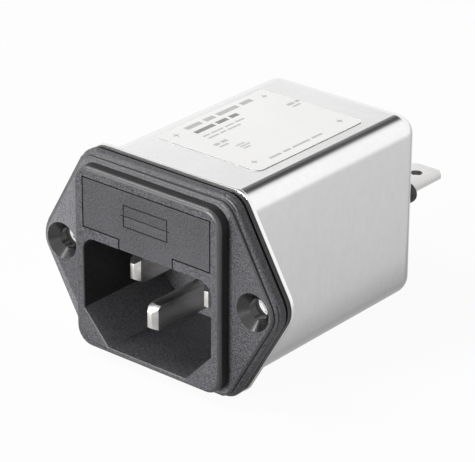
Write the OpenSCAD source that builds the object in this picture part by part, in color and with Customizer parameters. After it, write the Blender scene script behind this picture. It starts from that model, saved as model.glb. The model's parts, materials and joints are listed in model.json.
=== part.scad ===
// Fused power entry module with a mains filter in a drawn metal can.
// Millimetres. X across the panel, Y into the equipment, Z up.
// Origin: middle of the two screw holes, on the plane that seats on the panel.

/* [Front moulding] */
// Distance between the two screw holes
hole_spacing = 36; // [30:0.5:44]
// Radius of the clearance hole in an ear
hole_r = 1.6; // [1:0.05:2.5]
// Radius of the countersink at the ear face
sink_r = 2.85; // [2:0.05:4]
// Height of the raised block over the ears
boss_proud = 1.9; // [0.5:0.1:4]
// Rim of the raised block beside the socket
rim_side = 1.65; // [1:0.05:3]
// Rim of the raised block under the socket
rim_low = 1; // [0.8:0.05:3]
// Rim of the raised block over the drawer face
rim_top = 1.75; // [1:0.05:3]
// Corner radius of the raised block
boss_r = 2.8; // [1:0.1:5]
// Bevel on the front edges of the raised block
boss_bevel = 0.35; // [0.1:0.05:1]
// Step from the raised block out to the ear plate, above and below
ear_step = 0.7; // [0.3:0.05:2]
// Radius of the ear tip at its front
ear_tip_r = 3.5; // [3:0.1:6]
// Corner radius of the ear plate at its front
ear_corner_r = 2.6; // [1:0.1:5]
// Angle of the ear's sloping edges from the vertical
ear_lean = 30; // [10:1:45]
// Straight part of the ear plate's edge
ear_lip = 0.5; // [0.2:0.1:2]
// Bevel on the front edge of the ear plate
ear_bevel = 0.25; // [0.1:0.05:0.4]
// Length of the sloping band behind the lip
band_len = 0.9; // [0.3:0.1:2]
// Growth of the outline over the sloping band
band_grow = 0.7; // [0.2:0.05:1.5]
// Straight part behind the band
rim_len = 0.85; // [0.3:0.05:2]
// Length of the seam groove
seam_len = 0.3; // [0.1:0.05:1]
// Depth of the seam groove
seam_depth = 0.35; // [0.1:0.05:0.6]
// Gap between the moulding and the inside of the can
core_fit = 0.3; // [0.1:0.05:0.5]

/* [Inlet socket] */
// Half width of the socket
sock_hw = 12; // [11.9:0.05:12.3]
// Height of the socket
sock_h = 16.5; // [16:0.05:17]
// Depth of the socket
sock_depth = 17; // [15:0.1:20]
// Width of the slanted lower corners
sock_cut_x = 4.7; // [3:0.1:6]
// Height of the slanted lower corners
sock_cut_z = 5; // [3:0.1:6]
// Radius of the socket's upper corners
sock_r = 2.2; // [0.5:0.1:3]
// Thickness of the wall behind the socket
sock_wall = 2; // [1.2:0.1:3]
// Pin thickness
pin_t = 2; // [1.5:0.1:3]
// Pin height
pin_h = 4; // [3:0.1:5]
// Distance between line and neutral pins
pin_pitch = 14; // [12:0.5:16]
// Height of line and neutral pins over the middle of the socket
pin_rise = 2.35; // [1:0.05:4]
// Drop of the earth pin below the other two
earth_drop = 4; // [3:0.1:5]
// Setback of line and neutral pin tips from the front face
pin_back = 4.9; // [3:0.1:7]
// Setback of the earth pin tip from the front face
earth_back = 0.7; // [0.3:0.1:3]
// Length of the tapered tip
tip_len = 1.5; // [0.5:0.1:3]
// Taper of the tip's broad sides
tip_in_x = 0.6; // [0.2:0.05:0.8]
// Taper of the tip's narrow sides
tip_in_z = 0.8; // [0.2:0.05:1.5]
// Tail of each pin behind the socket wall
pin_tail = 0.9; // [0.5:0.1:2]

/* [Fuse drawer] */
// Web between the socket and the shoulders of the drawer face
web_h = 1.65; // [1.2:0.05:3]
// Height of the drawer face over a fuse
face_over = 1.5; // [1:0.05:3]
// Height of the drawer face under a fuse
face_under = 0.9; // [0.8:0.05:3]
// Half width of the tongue of the drawer face
tongue_hw = 4.95; // [3:0.05:8]
// Thickness of the drawer face
face_t = 2.2; // [1.5:0.1:4]
// Running gap round the drawer face
face_gap = 0.2; // [0.1:0.05:0.4]
// Space in the drawer shaft behind the rear contacts
shaft_spare = 1.9; // [1:0.1:5]
// Wall round the drawer shaft
shaft_wall = 1.2; // [0.8:0.1:2]
// Length of the fuses' rear ends that the tray leaves bare
tray_short = 0.6; // [0.2:0.1:3]
// Gap between the tray and the sides of the shaft
tray_gap = 0.5; // [0.2:0.05:1]
// Thickness of tray sides and top
tray_t = 1; // [0.6:0.1:2]
// Half width of the rib between the fuses
rib_hw = 1.5; // [0.5:0.1:2.5]
// Width of one saddle that grips a fuse
saddle_w = 4; // [2:0.1:8]
// Reach of the saddle below the middle of the fuse
saddle_wrap = 1; // [0:0.1:2]
// Width of the fuse mark's box on the face
mark_w = 8.1; // [4:0.1:12]
// Height of the fuse mark's box on the face
mark_h = 3.3; // [2:0.1:5]
// Height of the fuse mark over the middle of the drawer face
mark_rise = 0.05; // [-2:0.05:2]
// Length the middle line sticks out of the box
mark_out = 0.5; // [0.2:0.1:1]
// Line width of the fuse mark
mark_line = 0.2; // [0.1:0.05:0.5]
// Depth of the fuse mark
mark_deep = 0.1; // [0.05:0.05:0.3]

/* [Fuses and contacts] */
// Length of a fuse
fuse_len = 20; // [18:0.5:22]
// Radius of a fuse cap
cap_r = 2.6; // [2.4:0.05:3]
// Length of a fuse cap
cap_len = 5; // [4:0.1:6]
// Wall of a fuse cap
cap_wall = 0.2; // [0.1:0.05:0.5]
// Wall of the glass tube
tube_wall = 0.5; // [0.3:0.05:1]
// Radius of the fuse wire
wire_r = 0.15; // [0.1:0.01:0.4]
// Place of a fuse between the middle and the tray's side, as a share
fuse_share = 0.56; // [0.5:0.01:0.65]
// Setback of the fuses from the front face
fuse_back = 3; // [2.5:0.1:4]
// Thickness of contact strip
strip_t = 0.4; // [0.2:0.05:0.8]
// Width of contact strip
strip_w = 3; // [2:0.1:4]
// Gap between a fuse and its contacts in the drawing
touch_gap = 0.2; // [0.1:0.05:0.5]
// Half height of a rear contact's arm
arm_hh = 1; // [0.5:0.1:2]
// Reach of a rear contact's arm behind the shaft
arm_out = 1.8; // [1:0.1:3]
// Start of the front contact behind the front face
spring_back = 4.4; // [3:0.1:8]

/* [Rear frame and can] */
// Thickness of the frame behind the front moulding
frame_t = 0.75; // [0.5:0.05:2]
// Step of the frame's edge inside the rim
frame_in = 0.12; // [0:0.02:0.5]
// Thickness of the can's flange
flange_t = 0.7; // [0.5:0.05:1.5]
// Step of the flange's edge outside the rim
flange_out = 0.06; // [0:0.02:0.3]
// Step from the raised block out to the can's sides
can_side_step = 0.25; // [0:0.05:1]
// Step from the raised block out to the can's top and bottom
can_top_step = 0.35; // [0:0.05:1]
// Length of the can behind the panel
can_len = 40; // [30:0.5:60]
// Edge radius of the can
can_r = 3; // [1:0.1:5]
// Sheet thickness of the can
can_t = 0.6; // [0.4:0.05:1]
// Radius of the bend between can and flange
bend_r = 0.5; // [0.2:0.05:0.7]

/* [Label] */
// Width of the label
label_w = 19.4; // [10:0.1:24]
// Length of the label
label_l = 24.4; // [10:0.1:34]
// Thickness of the label
label_t = 0.1; // [0.05:0.01:0.3]
// Sideways place of the label
label_x = -0.5; // [-3:0.1:3]
// Distance from the panel plane to the label
label_y = 7.9; // [3:0.1:15]
// Corner radius of the label
label_r = 1.2; // [0.5:0.1:3]

/* [Rear tabs] */
// Width of a tab
tab_w = 6.3; // [4.8:0.1:6.3]
// Thickness of a tab
tab_t = 0.8; // [0.5:0.1:1]
// Reach of the line and neutral tabs behind the can
tab_out = 11; // [8:0.1:14]
// Length of a tab inside the can
tab_in = 4.5; // [3.5:0.1:6]
// Distance from the can's side to the middle of a tab
tab_side = 6.05; // [5:0.05:9]
// Height of the tabs over the hole line
tab_z = 0.4; // [-5:0.1:5]
// Corner cut at the tip of a tab
tab_cut = 1.1; // [0.5:0.1:2]
// Radius of the hole in a tab
tab_hole_r = 0.9; // [0.6:0.05:1.2]
// Distance from tab tip to its hole
tab_hole_in = 3.2; // [2.5:0.1:5]
// Width of the insulating bush
bush_w = 9; // [7.5:0.1:11]
// Height of the insulating bush
bush_h = 3.2; // [2.4:0.1:6]
// Height of the bush over the can's rear
bush_out = 2; // [0.5:0.1:4]
// Rim of the bush over its hole in the can
bush_rim = 0.6; // [0.3:0.05:1]
// Reach of the bush inside the can
bush_in = 1; // [0.5:0.1:2]
// Height of the earth tab's blade over the hole line
earth_tab_z = -5.4; // [-8:0.1:0]
// Height of the earth tab's base plate
earth_base_h = 6; // [5:0.1:9]
// Reach of the earth tab behind the can
earth_out = 9; // [7:0.1:12]
// Shank radius of the earth rivet
rivet_r = 1.2; // [0.8:0.1:2]
// Head radius of the earth rivet
rivet_head_r = 2.1; // [1.5:0.1:3]
// Head height of the earth rivet
rivet_head_h = 0.7; // [0.4:0.1:1.5]

/* [Filter parts] */
// Thickness of the insulating liner
liner_t = 0.42; // [0.2:0.02:1]
// Gap between the board and the can's sides
board_side = 1.7; // [1:0.1:4]
// Step from the board's edge in to the liner's edge
liner_step = 0.8; // [0:0.1:3]
// Thickness of the board
board_t = 1.2; // [0.8:0.1:2]
// Gap between socket wall and board
board_gap = 1.8; // [1.5:0.1:3]
// Gap between the board and the rounding of the can's rear edge
board_rear = 0.1; // [0:0.1:3]
// Gap between the choke's windings and the capacitors before and behind it
choke_gap = 0.3; // [0.2:0.1:2]
// Bore of the choke's windings as a share of their outside
choke_bore = 0.4; // [0.2:0.05:0.6]
// Height of the choke's windings
choke_h = 7.6; // [5:0.1:10]
// Thickness of the windings on the core
wind_t = 0.7; // [0.4:0.1:1.2]
// Angle covered by one winding
wind_angle = 140; // [90:5:160]
// Thickness of the choke's base
base_t = 0.8; // [0.5:0.1:2]
// Rim of the choke's base round the windings
base_rim = 0.25; // [0:0.05:1]
// Thickness of the divider between the windings
divider_t = 1.2; // [0.8:0.1:2]
// Width of the capacitor across the lines as a share of the board's width
xcap_share = 0.56; // [0.3:0.02:0.7]
// Gap between the capacitor across the lines and the board's rear edge
xcap_rear = 0.3; // [0.2:0.1:2]
// Thickness of the capacitor across the lines
xcap_t = 4; // [3:0.1:6]
// Height of the capacitor across the lines
xcap_h = 9.5; // [6:0.1:12]
// Radius of an earth capacitor
ycap_r = 2.8; // [2:0.1:4]
// Gap between an earth capacitor and the board's front edge
ycap_front = 0.4; // [0.2:0.1:2]
// Thickness of an earth capacitor
ycap_t = 2.6; // [1.5:0.1:4]
// Gap between an earth capacitor and the upright wire beside it
ycap_side = 0.25; // [0.1:0.05:1]
// Radius of the discharge resistor
res_r = 1; // [0.6:0.1:1.5]
// Length of the discharge resistor as a share of the capacitor's width under it
res_share = 0.42; // [0.2:0.02:0.6]
// Gap between the resistor and the capacitor under it
res_lift = 0.3; // [0.1:0.1:1]
// Gap between the resistor's leads and the sides of that capacitor
lead_gap = 0.3; // [0.1:0.1:1]
// Radius of the component leads
lead_r = 0.3; // [0.2:0.05:0.5]
// Radius of the connecting wires
link_r = 0.5; // [0.3:0.05:0.8]
// Sideways step from a tab's middle to its wire
link_step = 1.75; // [0:0.05:2.5]
// Gap between the outgoing wires and the board's rear edge
link_rear = 0.3; // [0.1:0.1:3]

/* [Hidden] */
$fn = 64;
over = 0.1;
lap = 0.01;
tuck = 0.0005;
reach = 2;
hole_x = hole_spacing / 2;
deck_t = ear_lip + band_len + rim_len + seam_len;
front_y = -(boss_proud + deck_t + frame_t + flange_t);
ear_y = front_y + boss_proud;
band_y = ear_y + ear_lip;
rim_y = band_y + band_len;
seam_y = rim_y + rim_len;
frame_y = seam_y + seam_len;
flange_y = frame_y + frame_t;
face_h = face_under + 2 * cap_r + face_over;
boss_hw = sock_hw + rim_side;
boss_hh = (rim_low + sock_h + web_h + face_h + rim_top) / 2;
ear_hh = boss_hh + ear_step;
can_hw = boss_hw + can_side_step;
can_hh = boss_hh + can_top_step;
inner_hh = can_hh - can_t;
inner_hw = can_hw - can_t;
core_hw = inner_hw - core_fit;
core_hh = inner_hh - core_fit;
sock_low = rim_low - boss_hh;
sock_top = sock_low + sock_h;
face_low = sock_top + web_h;
face_top = face_low + face_h;
face_hw = sock_hw - face_gap;
fuse_z = face_low + face_under + cap_r;
mark_z = face_low + face_h / 2 + mark_rise;
slot_low = face_low - face_gap;
slot_top = face_top + face_gap;
slot_hw = face_hw + face_gap;
sock_end = front_y + sock_depth;
core_end = sock_end + sock_wall;
pin_z = sock_low + sock_h / 2 + pin_rise;
earth_z = pin_z - earth_drop;
pin_x = pin_pitch / 2;
tail_y = core_end + pin_tail;
tube_r = cap_r - cap_wall;
fuse_y = front_y + fuse_back;
fuse_end = fuse_y + fuse_len;
tray_end = fuse_end - tray_short;
tray_hw = slot_hw - tray_gap;
fuse_x = (tray_hw - tray_t) * fuse_share;
tray_top = face_top - face_gap;
tray_low = slot_low + strip_t + face_gap / 2;
tray_roof = tray_top - tray_t;
rear_touch_y = fuse_end + touch_gap;
shaft_end = rear_touch_y + strip_t + shaft_spare;
arm_x = slot_hw - strip_t - over;
arm_end = shaft_end + shaft_wall + arm_out;
crest_r = fuse_z - cap_r - touch_gap - slot_low - strip_t;
liner_z = -inner_hh;
board_z = liner_z + liner_t;
deck_z = board_z + board_t;
board_hw = inner_hw - board_side;
liner_hw = board_hw - liner_step;
board_y = core_end + board_gap;
board_end = can_len - can_r - board_rear;
xcap_w = 2 * board_hw * xcap_share;
xcap_y = board_end - xcap_rear - xcap_t;
ycap_y = board_y + ycap_front;
choke_r = (xcap_y - ycap_y - ycap_t) / 2 - choke_gap;
choke_y = (xcap_y + ycap_y + ycap_t) / 2;
choke_in_r = choke_r * choke_bore;
wind_z = deck_z + base_t;
core_r = choke_r - wind_t;
core_in_r = choke_in_r + wind_t;
base_r = choke_r + base_rim;
tab_x = can_hw - tab_side;
link_x = tab_x + link_step;
link_y = board_end - link_rear - link_r;
arm_wire_x = arm_x + strip_t / 2;
arm_wire_y = arm_end - link_r;
ycap_x = arm_wire_x - link_r - ycap_side - ycap_r;
res_len = xcap_w * res_share;
res_y = xcap_y + xcap_t / 2;
res_z = deck_z + xcap_h + res_lift + res_r;
res_out = xcap_w / 2 + lead_gap + lead_r;

// centres and radii of the rounded outlines, counter-clockwise seen from the front
ear_corner_z = ear_hh - ear_corner_r;
ear_corner_x = (hole_x * cos(ear_lean) + ear_tip_r - ear_corner_r
                - ear_corner_z * sin(ear_lean)) / cos(ear_lean);
ear_ring = [
    [hole_x, 0, ear_tip_r],
    [ear_corner_x, ear_corner_z, ear_corner_r],
    [-ear_corner_x, ear_corner_z, ear_corner_r],
    [-hole_x, 0, ear_tip_r],
    [-ear_corner_x, -ear_corner_z, ear_corner_r],
    [ear_corner_x, -ear_corner_z, ear_corner_r]];
function box_ring(hw, hh, r) = [
    [hw - r, hh - r, r], [r - hw, hh - r, r], [r - hw, r - hh, r], [hw - r, r - hh, r]];

// a flat shape in X and Z drawn out from y0 to y1
module along_y(y0, y1) {
    translate([0, y1, 0]) rotate([90, 0, 0]) linear_extrude(y1 - y0) children();
}

// a block given by its corner points
module block(a, b) {
    translate(a) cube(b - a);
}

// a rod along Y
module rod_y(x, z, r, y0, y1) {
    translate([x, y0, z]) rotate([-90, 0, 0]) cylinder(h = y1 - y0, r = r);
}

// direction of the outward normal of the edge between two circles of a ring
function side_angle(a, b) =
    atan2(b[1] - a[1], b[0] - a[0]) - 90
    + asin((a[2] - b[2]) / norm([b[0] - a[0], b[1] - a[1]]));
function touch_point(c, angle, grow) =
    [c[0] + (c[2] + grow) * cos(angle), c[1] + (c[2] + grow) * sin(angle)];
function ring_points(ring, grow) = [
    for (i = [0 : len(ring) - 1])
        let (next = ring[(i + 1) % len(ring)], angle = side_angle(ring[i], next))
            for (c = [ring[i], next]) touch_point(c, angle, grow)];

// plate with a rounded outline, its straight sides drawn in by inset
module plate(ring, grow, y0, y1, inset = 0) {
    along_y(y0, y1) {
        polygon(ring_points(ring, grow - inset));
        for (c = ring) translate([c[0], c[1]]) circle(r = c[2] + grow);
    }
}

// what is outside a profile of [growth, depth] points all round an outline
module edge_cut(ring, profile) {
    last = profile[len(profile) - 1];
    shape = concat(profile, [[reach, last[1]], [reach, profile[0][1]]]);
    for (i = [0 : len(ring) - 1]) {
        here = ring[i];
        next = ring[(i + 1) % len(ring)];
        from = side_angle(ring[(i + len(ring) - 1) % len(ring)], here);
        angle = side_angle(here, next);
        a = touch_point(here, angle, 0);
        b = touch_point(next, angle, 0);
        translate([a[0], 0, a[1]]) rotate([0, -angle, 0]) translate([0, 0, -lap])
            linear_extrude(norm(b - a) + 2 * lap) translate([tuck, 0]) polygon(shape);
        translate([here[0], 0, here[1]]) rotate([-90, 0, 0]) rotate([0, 0, -angle])
            rotate_extrude(angle = (angle - from + 360) % 360)
                polygon([for (p = shape) [here[2] + p[0], p[1]]]);
    }
}

module stadium(w, h) {
    square([w - h, h], center = true);
    for (s = [-1, 1]) translate([s * (w - h) / 2, 0]) circle(r = h / 2);
}

module socket_shape() {
    polygon([
        [-sock_hw, sock_top - sock_r], [sock_r - sock_hw, sock_top],
        [sock_hw - sock_r, sock_top], [sock_hw, sock_top - sock_r],
        [sock_hw, sock_low + sock_cut_z], [sock_hw - sock_cut_x, sock_low],
        [sock_cut_x - sock_hw, sock_low], [-sock_hw, sock_low + sock_cut_z]]);
    for (s = [-1, 1])
        translate([s * (sock_hw - sock_r), sock_top - sock_r]) circle(r = sock_r);
}

module ear_holes(r, y0, y1) {
    for (s = [-1, 1]) rod_y(s * hole_x, 0, r, y0, y1);
}

module inlet_body() {
    boss = box_ring(boss_hw, boss_hh, boss_r);
    color("dimgray") difference() {
        union() {
            difference() {
                plate(boss, 0, front_y, ear_y + over);
                edge_cut(boss, [[-boss_bevel - over, front_y - over],
                                [over, front_y + boss_bevel + over]]);
            }
            difference() {
                plate(ear_ring, band_grow, ear_y, seam_y, tuck);
                edge_cut(ear_ring, [
                    [-ear_bevel - over, ear_y - over], [0, ear_y + ear_bevel], [0, band_y],
                    [band_grow + over, rim_y + over * band_len / band_grow]]);
            }
            plate(ear_ring, band_grow - seam_depth, seam_y - over, frame_y, tuck);
            plate(box_ring(core_hw, core_hh, boss_r), 0, ear_y + over, core_end);
            block([-core_hw + boss_r, core_end - over, slot_low - shaft_wall],
                  [core_hw - boss_r, shaft_end + shaft_wall, core_hh]);
            block([-core_hw, core_end - over, slot_low - shaft_wall],
                  [core_hw, shaft_end + shaft_wall, core_hh - boss_r]);
            for (s = [-1, 1])
                rod_y(s * (core_hw - boss_r), core_hh - boss_r, boss_r,
                      core_end - over, shaft_end + shaft_wall);
        }
        along_y(front_y - over, sock_end) socket_shape();
        block([-slot_hw, front_y - over, slot_low], [slot_hw, shaft_end, slot_top]);
        block([-tongue_hw - face_gap, front_y - over, sock_top - over],
              [tongue_hw + face_gap, front_y + face_t + face_gap, slot_low + over]);
        for (s = [-1, 1]) {
            block([s * pin_x - pin_t / 2, sock_end - over, pin_z - pin_h / 2],
                  [s * pin_x + pin_t / 2, core_end + over, pin_z + pin_h / 2]);
            block([s * fuse_x - strip_w / 2, tail_y, slot_low - shaft_wall - over],
                  [s * fuse_x + strip_w / 2, tail_y + strip_t, slot_low + over]);
            block([s * (arm_x + strip_t / 2) - strip_t / 2, shaft_end - over, fuse_z - arm_hh],
                  [s * (arm_x + strip_t / 2) + strip_t / 2, arm_end, fuse_z + arm_hh]);
        }
        block([-pin_t / 2, sock_end - over, earth_z - pin_h / 2],
              [pin_t / 2, core_end + over, earth_z + pin_h / 2]);
        ear_holes(hole_r, ear_y - over, frame_y + over);
        for (s = [-1, 1])
            translate([s * hole_x, ear_y, 0]) rotate([-90, 0, 0])
                cylinder(h = sink_r - hole_r, r1 = sink_r, r2 = hole_r);
    }
}

module rear_frame() {
    color("black") difference() {
        plate(ear_ring, band_grow - frame_in, frame_y, flange_y, tuck);
        plate(box_ring(core_hw, core_hh, boss_r), 0, frame_y - over, flange_y + over);
        ear_holes(hole_r, frame_y - over, flange_y + over);
    }
}

// solid with rounded long and rear edges, open end at y0
module can_form(hw, hh, r, y0, y1) {
    ring = box_ring(hw, hh, r);
    plate(ring, 0, y0, y1 - r);
    block([r - hw, y0, r - hh], [hw - r, y1, hh - r]);
    for (s = [-1, 1]) {
        for (t = [-1, 1]) translate([s * (hw - r), y1 - r, t * (hh - r)]) sphere(r = r);
        translate([s * (hw - r), y1 - r, r - hh]) cylinder(h = 2 * (hh - r), r = r);
        translate([r - hw, y1 - r, s * (hh - r)]) rotate([0, 90, 0])
            cylinder(h = 2 * (hw - r), r = r);
    }
}

module bush_place(s) {
    translate([s * tab_x, 0, tab_z]) children();
}

module filter_can() {
    color("silver") difference() {
        union() {
            plate(ear_ring, band_grow + flange_out, flange_y, 0, tuck);
            difference() {
                plate(box_ring(can_hw, can_hh, can_r), bend_r, -over, bend_r);
                edge_cut(box_ring(can_hw, can_hh, can_r),
                         [[bend_r + over, -over], [-over, bend_r + over]]);
            }
            can_form(can_hw, can_hh, can_r, flange_y, can_len);
        }
        can_form(inner_hw, inner_hh, can_r - can_t, flange_y - over, can_len - can_t);
        ear_holes(hole_r, flange_y - over, over);
        for (s = [-1, 1])
            bush_place(s) along_y(can_len - can_t - bush_in, can_len + over)
                stadium(bush_w - 2 * bush_rim, bush_h - 2 * bush_rim);
        rod_y(0, earth_tab_z - earth_base_h / 2, rivet_r, can_len - can_t - over, can_len + over);
    }
}

module fuse_mark() {
    w = mark_w / 2;
    h = mark_h / 2;
    l = mark_line / 2;
    for (t = [-1, 1]) {
        translate([0, t * h]) square([2 * w + mark_line, mark_line], center = true);
        translate([t * w, 0]) square([mark_line, 2 * h], center = true);
    }
    square([2 * (w + mark_out), 2 * l], center = true);
}

module fuse_drawer() {
    tray_y = front_y + face_t;
    color("dimgray") difference() {
        union() {
            block([-face_hw, front_y, face_low], [face_hw, tray_y, face_top]);
            block([-tongue_hw, front_y, sock_top], [tongue_hw, tray_y, face_low + over]);
            block([-tray_hw, tray_y - over, tray_roof], [tray_hw, tray_end, tray_top]);
            for (s = [-1, 1])
                block([s * (tray_hw - tray_t / 2) - tray_t / 2, tray_y - over, tray_low],
                      [s * (tray_hw - tray_t / 2) + tray_t / 2, tray_end, tray_top]);
            block([-rib_hw, tray_y - over, tray_low], [rib_hw, tray_end, tray_top]);
            block([-tray_hw, fuse_y + fuse_len / 2 - saddle_w / 2, fuse_z - saddle_wrap],
                  [tray_hw, fuse_y + fuse_len / 2 + saddle_w / 2, tray_top]);
        }
        for (s = [-1, 1])
            rod_y(s * fuse_x, fuse_z, tube_r, tray_y + over, tray_end + over);
        for (s = [-1, 1])
            rod_y(s * fuse_x, fuse_z, cap_r + over, tray_y, fuse_y + cap_len + over);
        along_y(front_y - over, front_y + mark_deep) translate([0, mark_z]) fuse_mark();
    }
}

// blade with a tapered tip, middle at x and z, tip at y0, square end at y1
module contact_pin(x, z, y0, y1) {
    hx = pin_t / 2;
    hz = pin_h / 2;
    color("gray") intersection() {
        translate([x, 0, z - hz]) linear_extrude(pin_h)
            polygon([[-hx + tip_in_x, y0], [hx - tip_in_x, y0], [hx, y0 + tip_len],
                     [hx, y1], [-hx, y1], [-hx, y0 + tip_len]]);
        translate([x - hx, 0, z]) rotate([90, 0, 90]) linear_extrude(pin_t)
            polygon([[y0, -hz + tip_in_z], [y0, hz - tip_in_z], [y0 + tip_len, hz],
                     [y1, hz], [y1, -hz], [y0 + tip_len, -hz]]);
    }
}

module line_pin() contact_pin(pin_x, pin_z, front_y + pin_back, tail_y);
module neutral_pin() contact_pin(-pin_x, pin_z, front_y + pin_back, tail_y);
module earth_pin() contact_pin(0, earth_z, front_y + earth_back, tail_y);

// spring under the front cap, with a leg down to the pin's tail
module front_contact(s) {
    spring_y = front_y + spring_back;
    color("goldenrod") {
        block([s * fuse_x - strip_w / 2, spring_y, slot_low],
              [s * fuse_x + strip_w / 2, tail_y + strip_t, slot_low + strip_t]);
        block([s * fuse_x - strip_w / 2, tail_y, pin_z - pin_h / 2],
              [s * fuse_x + strip_w / 2, tail_y + strip_t, slot_low + strip_t]);
        intersection() {
            translate([s * fuse_x - strip_w / 2, spring_y + crest_r, slot_low + strip_t])
                rotate([0, 90, 0]) cylinder(h = strip_w, r = crest_r);
            block([s * fuse_x - strip_w, spring_y - over, slot_low + strip_t / 2],
                  [s * fuse_x + strip_w, spring_y + strip_w, fuse_z]);
        }
    }
}

module line_front_contact() front_contact(1);
module neutral_front_contact() front_contact(-1);

// plate behind the rear cap, with an arm out through the shaft's rear wall
module rear_contact(s) {
    color("goldenrod") mirror([s < 0 ? 1 : 0, 0, 0]) {
        block([fuse_x - strip_w / 2, rear_touch_y, fuse_z - cap_r + strip_t],
              [fuse_x + strip_w / 2, rear_touch_y + strip_t, fuse_z + cap_r - strip_t]);
        block([fuse_x, rear_touch_y, fuse_z - arm_hh],
              [arm_x + strip_t, rear_touch_y + strip_t, fuse_z + arm_hh]);
        block([arm_x, rear_touch_y, fuse_z - arm_hh],
              [arm_x + strip_t, arm_end, fuse_z + arm_hh]);
    }
}

module line_rear_contact() rear_contact(1);
module neutral_rear_contact() rear_contact(-1);

module fuse_tube(s) {
    color("white") difference() {
        rod_y(s * fuse_x, fuse_z, tube_r, fuse_y + cap_wall, fuse_y + fuse_len - cap_wall);
        rod_y(s * fuse_x, fuse_z, tube_r - tube_wall, fuse_y, fuse_y + fuse_len);
    }
}

module line_fuse_tube() fuse_tube(1);
module neutral_fuse_tube() fuse_tube(-1);

module fuse_cap(s, y0, open_y) {
    color("silver") difference() {
        rod_y(s * fuse_x, fuse_z, cap_r, y0, y0 + cap_len);
        rod_y(s * fuse_x, fuse_z, tube_r, open_y, open_y + cap_len);
    }
}

module front_cap(s) fuse_cap(s, fuse_y, fuse_y + cap_wall);
module rear_cap(s) fuse_cap(s, fuse_y + fuse_len - cap_len, fuse_y + fuse_len - cap_len - cap_wall);
module line_fuse_front_cap() front_cap(1);
module neutral_fuse_front_cap() front_cap(-1);
module line_fuse_rear_cap() rear_cap(1);
module neutral_fuse_rear_cap() rear_cap(-1);

module fuse_wire(s) {
    color("silver")
        rod_y(s * fuse_x, fuse_z, wire_r, fuse_y + cap_wall, fuse_y + fuse_len - cap_wall);
}

module line_fuse_wire() fuse_wire(1);
module neutral_fuse_wire() fuse_wire(-1);

// joins the tail of the earth pin to the can's floor
module earth_strap() {
    color("silver") {
        block([-pin_h / 2, tail_y, -inner_hh],
              [pin_h / 2, tail_y + strip_t, earth_z + pin_h / 2]);
        block([-pin_h / 2, core_end + over, -inner_hh],
              [pin_h / 2, tail_y + strip_t, -inner_hh + strip_t / 2]);
    }
}

module label() {
    color("white") translate([label_x, label_y + label_l / 2, can_hh])
        linear_extrude(label_t) {
            square([label_w - 2 * label_r, label_l], center = true);
            square([label_w, label_l - 2 * label_r], center = true);
            for (s = [-1, 1], t = [-1, 1])
                translate([s * (label_w / 2 - label_r), t * (label_l / 2 - label_r)])
                    circle(r = label_r);
        }
}

// flat blade pointing back, middle at x and z, from y0 to its tip at y1
module blade(x, z, y0, y1) {
    hw = tab_w / 2;
    translate([x, 0, z - tab_t / 2]) linear_extrude(tab_t) difference() {
        polygon([[-hw, y0], [hw, y0], [hw, y1 - tab_cut], [hw - tab_cut, y1],
                 [tab_cut - hw, y1], [-hw, y1 - tab_cut]]);
        translate([0, y1 - tab_hole_in]) circle(r = tab_hole_r);
    }
}

module line_tab() color("silver") blade(tab_x, tab_z, can_len - can_t - tab_in, can_len + tab_out);
module neutral_tab() color("silver") blade(-tab_x, tab_z, can_len - can_t - tab_in, can_len + tab_out);

module bush(s) {
    color("black") bush_place(s) difference() {
        union() {
            along_y(can_len, can_len + bush_out) stadium(bush_w, bush_h);
            along_y(can_len - can_t - bush_in, can_len)
                stadium(bush_w - 2 * bush_rim, bush_h - 2 * bush_rim);
        }
        block([-tab_w / 2, can_len - can_t - bush_in - over, -tab_t / 2],
              [tab_w / 2, can_len + bush_out + over, tab_t / 2]);
    }
}

module line_bush() bush(1);
module neutral_bush() bush(-1);

module earth_tab() {
    color("silver") {
        blade(0, earth_tab_z, can_len, can_len + earth_out);
        difference() {
            block([-tab_w / 2, can_len, earth_tab_z - earth_base_h],
                  [tab_w / 2, can_len + tab_t, earth_tab_z + tab_t / 2]);
            rod_y(0, earth_tab_z - earth_base_h / 2, rivet_r, can_len - over, can_len + tab_t + over);
        }
    }
}

module earth_rivet() {
    z = earth_tab_z - earth_base_h / 2;
    color("silver") {
        rod_y(0, z, rivet_r, can_len - can_t - over, can_len + tab_t + over);
        rod_y(0, z, rivet_head_r, can_len - can_t - rivet_head_h, can_len - can_t);
        rod_y(0, z, rivet_head_r, can_len + tab_t, can_len + tab_t + rivet_head_h);
    }
}

module insulating_liner() {
    color("ivory") block([-liner_hw, board_y, liner_z], [liner_hw, board_end, board_z]);
}

module circuit_board() {
    color("green") block([-board_hw, board_y, board_z], [board_hw, board_end, deck_z]);
}

module choke_base() {
    color("ivory") translate([0, choke_y, deck_z]) {
        cylinder(h = base_t, r = base_r);
        translate([-divider_t / 2, -choke_in_r, 0])
            cube([divider_t, 2 * choke_in_r, base_t + choke_h]);
    }
}

module choke_core() {
    color("dimgray") translate([0, choke_y, wind_z + wind_t]) difference() {
        cylinder(h = choke_h - 2 * wind_t, r = core_r);
        translate([0, 0, -over]) cylinder(h = choke_h, r = core_in_r);
    }
}

module winding(start) {
    color("peru") translate([0, choke_y, wind_z]) rotate([0, 0, start])
        rotate_extrude(angle = wind_angle) difference() {
            translate([choke_in_r, 0]) square([choke_r - choke_in_r, choke_h]);
            translate([core_in_r, wind_t])
                square([core_r - core_in_r, choke_h - 2 * wind_t]);
        }
}

module line_winding() winding(-wind_angle / 2);
module neutral_winding() winding(180 - wind_angle / 2);

module x_capacitor() {
    color("gold") block([-xcap_w / 2, xcap_y, deck_z], [xcap_w / 2, xcap_y + xcap_t, deck_z + xcap_h]);
}

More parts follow.
